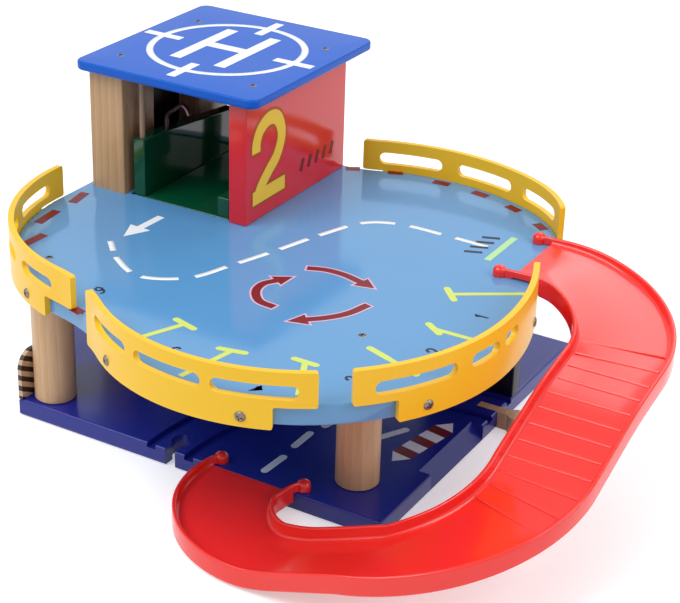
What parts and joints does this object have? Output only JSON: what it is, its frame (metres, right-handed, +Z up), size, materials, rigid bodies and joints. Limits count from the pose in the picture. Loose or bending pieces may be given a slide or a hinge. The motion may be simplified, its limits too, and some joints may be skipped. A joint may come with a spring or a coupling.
{
  "type": "toy parking garage with lift",
  "caption": "Wooden toy parking garage with a raised round deck, slotted guard rails, a lift tower, a lift car on a guide rod and a curved ramp that lifts off.",
  "frame": {"origin": "centre of the base board's main rectangle, on its underside, where it stands on the table", "axes": "+Z up, +X to the right along the front edge, +Y from the front edge to the back"},
  "size_m": [0.3985, 0.3335, 0.1874],
  "materials": {
    "base_blue": "smooth painted board",
    "deck_blue": "smooth painted board",
    "rail_yellow": "glossy painted thin board",
    "ramp_red": "glossy",
    "roof_blue": "smooth painted board",
    "panel_red": "smooth painted board",
    "dark_blue": "smooth painted board",
    "lift_green": "smooth painted board",
    "bare_wood": "natural, lightly varnished",
    "tower_wood": "natural, lightly varnished",
    "striped_wood": "printed diagonal stripes",
    "dowel_rod": "natural",
    "hook_metal": "satin",
    "screw_steel": "bright"
  },
  "bodies": {
    "garage": {"base_board": "base_blue", "track_peg": "bare_wood", "striped_side_board": "striped_wood", "front_left_post": "bare_wood", "front_right_post": "bare_wood", "rear_support": "dark_blue", "deck_board": "deck_blue", "left_rail": "rail_yellow", "front_left_rail": "rail_yellow", "front_right_rail": "rail_yellow", "back_rail": "rail_yellow", "tower_front_post": "tower_wood", "tower_back_post": "tower_wood", "tower_side_panel": "panel_red", "lower_side_wall": "dark_blue", "tower_back_wall": "dark_blue", "tower_back_bar": "dark_blue", "lower_back_wall": "dark_blue", "tower_left_wall": "dark_blue", "tower_roof": "roof_blue", "lift_guide_rod": "dowel_rod", "base_screw_1": "screw_steel", "base_screw_2": "screw_steel", "base_screw_3": "screw_steel", "base_screw_4": "screw_steel", "base_screw_5": "screw_steel", "base_screw_6": "screw_steel", "base_screw_7": "screw_steel", "deck_screw_1": "screw_steel", "deck_screw_2": "screw_steel", "roof_screw_1": "screw_steel", "roof_screw_2": "screw_steel", "roof_screw_3": "screw_steel", "roof_screw_4": "screw_steel", "rail_screw_1": "screw_steel", "rail_screw_2": "screw_steel", "rail_screw_3": "screw_steel", "rail_screw_4": "screw_steel", "rail_screw_5": "screw_steel", "rail_screw_6": "screw_steel", "rail_screw_7": "screw_steel", "rail_screw_8": "screw_steel"},
    "lift": {"lift_floor": "lift_green", "lift_left_side": "lift_green", "lift_right_side": "lift_green", "lift_hook": "hook_metal"},
    "ramp": {"ramp": "ramp_red"}
  },
  "joints": [
    {"name": "lift_slide", "type": "slide", "parent": "garage", "child": "lift", "axis": [0, 0, 1], "range_m": [-0.0825, 0]},
    {"name": "ramp_lift_off", "type": "slide", "parent": "garage", "child": "ramp", "axis": [0, 0, 1], "range_m": [0, 0.04]}
  ]
}
